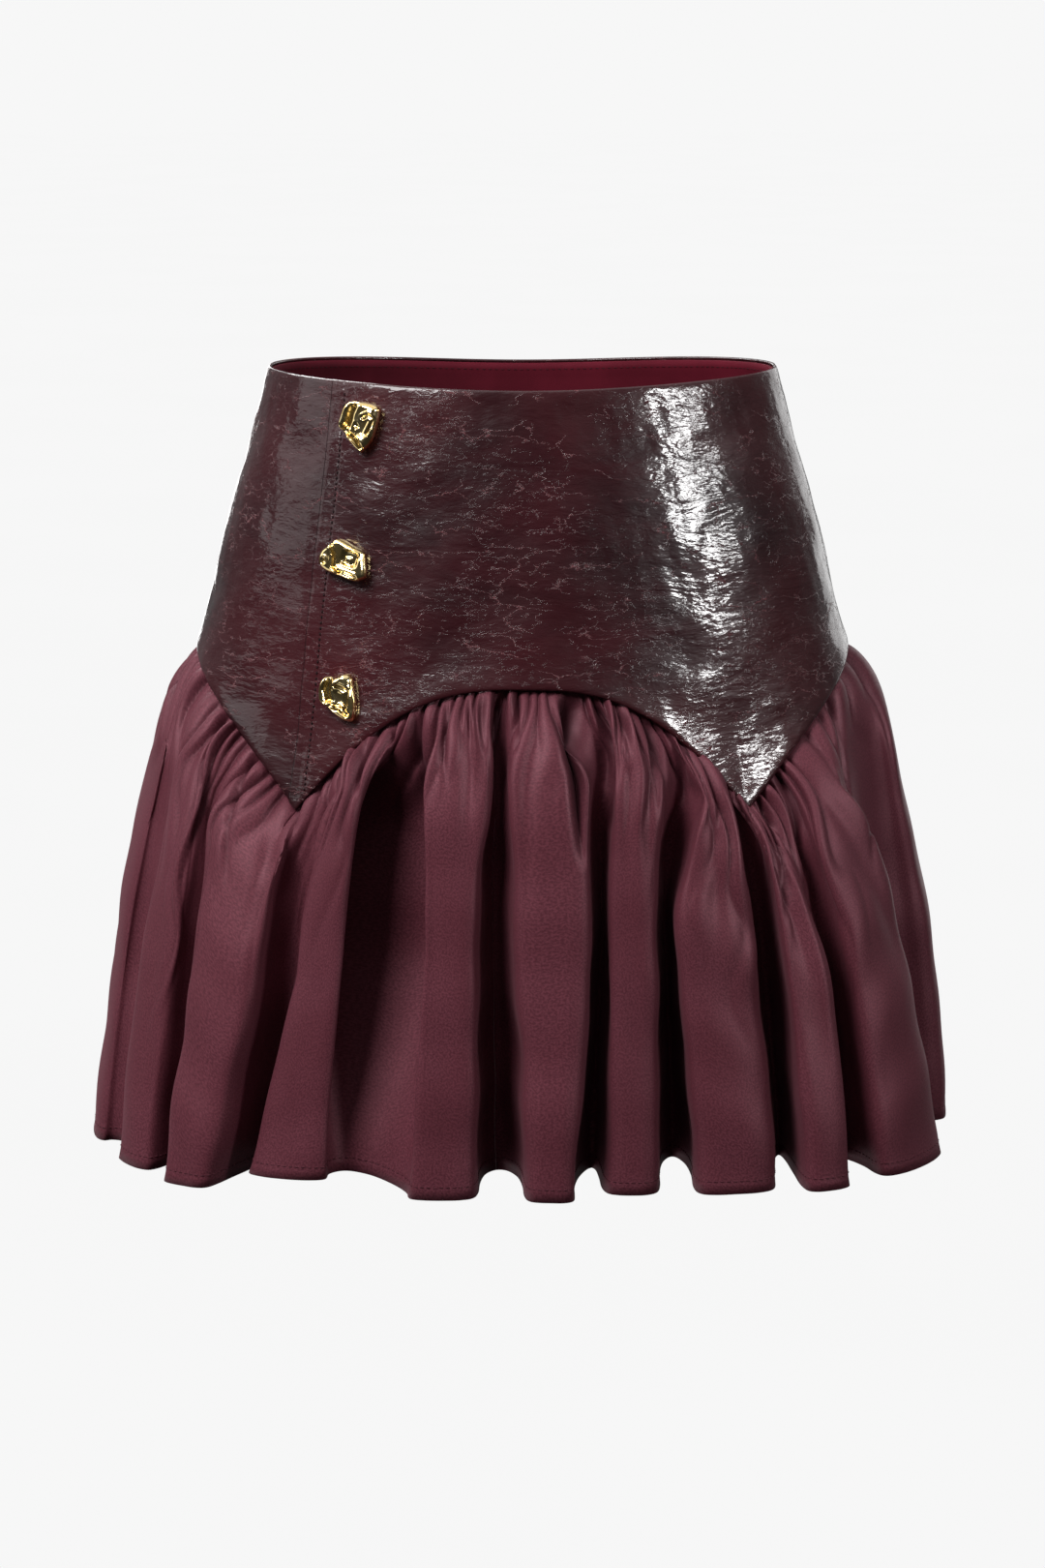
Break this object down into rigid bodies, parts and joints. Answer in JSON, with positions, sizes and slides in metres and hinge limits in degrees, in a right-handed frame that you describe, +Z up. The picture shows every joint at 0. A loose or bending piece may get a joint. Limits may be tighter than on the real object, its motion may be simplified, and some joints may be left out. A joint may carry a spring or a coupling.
{
  "type": "leather and satin mini skirt",
  "caption": "Short skirt, filled out as worn: a shaped crinkled-leather yoke with a scalloped lower edge and a lapped placket with nugget buttons, and a gathered satin flounce.",
  "frame": {"origin": "centre of the waist opening, at the height of the waist edge at the sides", "axes": "+Z up towards the wearer's chest, -Y the front, +X the wearer's left"},
  "size_m": [0.4267, 0.3292, 0.3705],
  "materials": {
    "leather": "crinkled glossy patent, deep burgundy brown",
    "satin": "matte satin, burgundy",
    "lining": "plain woven lining, dark red",
    "gold": "polished, hammered nugget"
  },
  "bodies": {
    "root": {"yoke_front": "leather", "yoke_side": "leather", "yoke_back": "leather", "lining": "lining", "flounce_front_right": "satin", "flounce_front_left": "satin", "flounce_back_left": "satin", "flounce_back_right": "satin", "button_1": "gold", "button_2": "gold", "button_3": "gold"}
  },
  "joints": []
}
